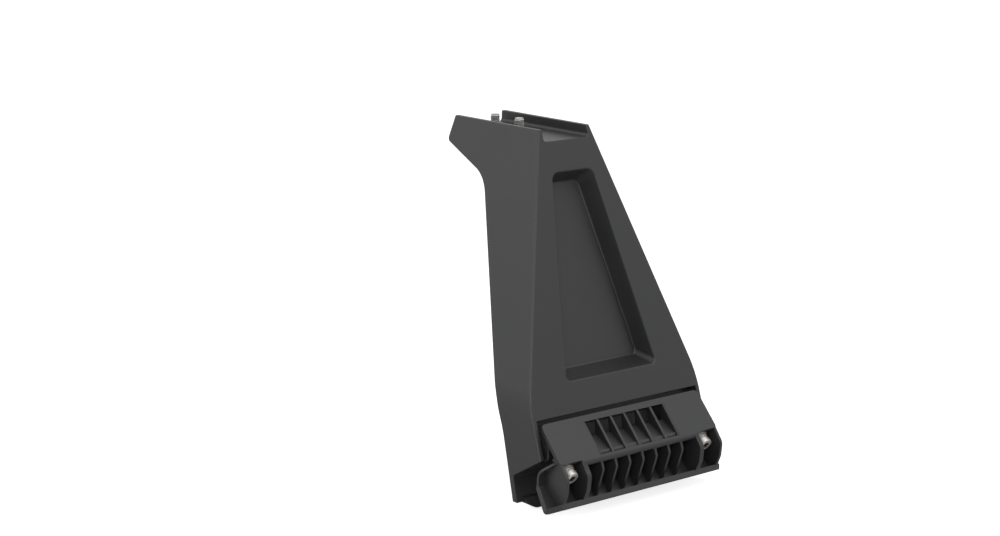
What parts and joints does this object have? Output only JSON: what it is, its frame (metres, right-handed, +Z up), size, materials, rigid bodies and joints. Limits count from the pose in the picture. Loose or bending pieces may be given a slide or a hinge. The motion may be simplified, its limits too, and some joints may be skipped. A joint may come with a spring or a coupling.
{
  "type": "roof bar foot",
  "caption": "Tall tapered moulded leg that holds the end of a roof bar above a rain gutter, with a ribbed clamp drawn in by socket screws and a rubber pad under its toe.",
  "frame": {"origin": "centre of the rubber pad's underside, where the foot stands in the gutter", "axes": "+Z up to the bar, +X outboard along the bar to its end, +Y along the gutter"},
  "size_m": [0.1624, 0.138, 0.2178],
  "materials": {
    "leg_nylon": "satin moulded",
    "clamp_nylon": "satin moulded",
    "pad_rubber": "matt",
    "stainless": "bright"
  },
  "bodies": {
    "leg": {"leg_body": "leg_nylon", "gutter_pad": "pad_rubber", "clamp_nut_front": "stainless", "clamp_nut_rear": "stainless", "bar_bolt_inboard": "stainless", "bar_bolt_outboard": "stainless", "bar_spring_washer_inboard": "stainless", "bar_spring_washer_outboard": "stainless", "bar_flat_washer_inboard": "stainless", "bar_flat_washer_outboard": "stainless"},
    "clamp": {"clamp_jaw": "clamp_nylon", "clamp_flat_washer_front": "stainless", "clamp_flat_washer_rear": "stainless"},
    "screw_front": {"clamp_screw_front": "stainless", "clamp_spring_washer_front": "stainless"},
    "screw_rear": {"clamp_screw_rear": "stainless", "clamp_spring_washer_rear": "stainless"}
  },
  "joints": [
    {"name": "clamp_slide", "type": "slide", "parent": "leg", "child": "clamp", "axis": [0.866, 0, -0.5], "range_m": [-0.002, 0.009]},
    {"name": "screw_front_turn", "type": "hinge", "parent": "clamp", "child": "screw_front", "pos_m": [0.03027, -0.0527, 0.0301], "axis": [0.866, 0, -0.5], "range_deg": [-910, 4060]},
    {"name": "screw_rear_turn", "type": "hinge", "parent": "clamp", "child": "screw_rear", "pos_m": [0.03027, 0.0527, 0.0301], "axis": [0.866, 0, -0.5], "range_deg": [-910, 4060]}
  ],
  "couplings": [
    {"joint": "screw_front_turn", "follows": "clamp_slide", "rad_per_m": 7854},
    {"joint": "screw_rear_turn", "follows": "clamp_slide", "rad_per_m": 7854}
  ]
}
